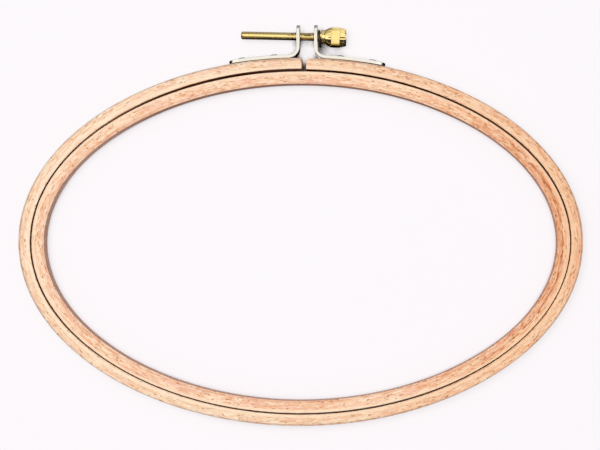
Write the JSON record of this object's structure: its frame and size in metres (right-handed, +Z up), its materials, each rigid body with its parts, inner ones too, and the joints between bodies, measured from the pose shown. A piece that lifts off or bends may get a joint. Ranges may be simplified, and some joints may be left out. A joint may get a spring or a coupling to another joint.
{
  "type": "embroidery hoop",
  "caption": "Oval bentwood hoop: a closed inner ring inside a split outer ring, drawn shut by a knobbed screw through bent metal brackets, to stretch cloth for stitching.",
  "frame": {"origin": "middle of the hoop's footprint, on the surface it lies on", "axes": "+X along the long axis towards the knob's side, +Y across the hoop towards the screw, +Z up through the rings"},
  "size_m": [0.2422, 0.1722, 0.009],
  "materials": {
    "outer_wood": "bare sanded beech",
    "inner_wood": "bare sanded beech",
    "bracket_nickel": "bright nickel plate",
    "pin_steel": "bright plate",
    "screw_brass": "bright brass",
    "washer_steel": "blackened steel"
  },
  "bodies": {
    "outer_frame": {"outer_ring": "outer_wood", "left_bracket": "bracket_nickel", "left_pin_near": "pin_steel", "left_pin_far": "pin_steel"},
    "right_end": {"right_bracket": "bracket_nickel", "right_pin_near": "pin_steel", "right_pin_far": "pin_steel"},
    "inner_hoop": {"inner_ring": "inner_wood"},
    "loose_washer": {"washer": "washer_steel"},
    "screw": {"clamp_screw": "screw_brass"}
  },
  "joints": [
    {"name": "screw_turn", "type": "hinge", "parent": "loose_washer", "child": "screw", "pos_m": [0.0035, 0.08113, 0.0045], "axis": [0.9996, -0.0279, 0], "range_deg": [0, 3604]},
    {"name": "screw_advance", "type": "slide", "parent": "outer_frame", "child": "loose_washer", "axis": [0.9996, -0.0279, 0], "range_m": [0, 0.006]},
    {"name": "ring_opening", "type": "hinge", "parent": "outer_frame", "child": "right_end", "pos_m": [0.0021, -0.08363, 0.0045], "axis": [0, 0, -1], "range_deg": [0, 2.09], "deforming": ["outer_ring"]},
    {"name": "inner_ring_lift", "type": "slide", "parent": "outer_frame", "child": "inner_hoop", "axis": [0, 0, 1], "range_m": [0, 0.03]}
  ],
  "couplings": [
    {"joint": "screw_turn", "follows": "screw_advance", "rad_per_m": 10472},
    {"joint": "ring_opening", "follows": "screw_advance", "rad_per_m": 6.0739}
  ]
}
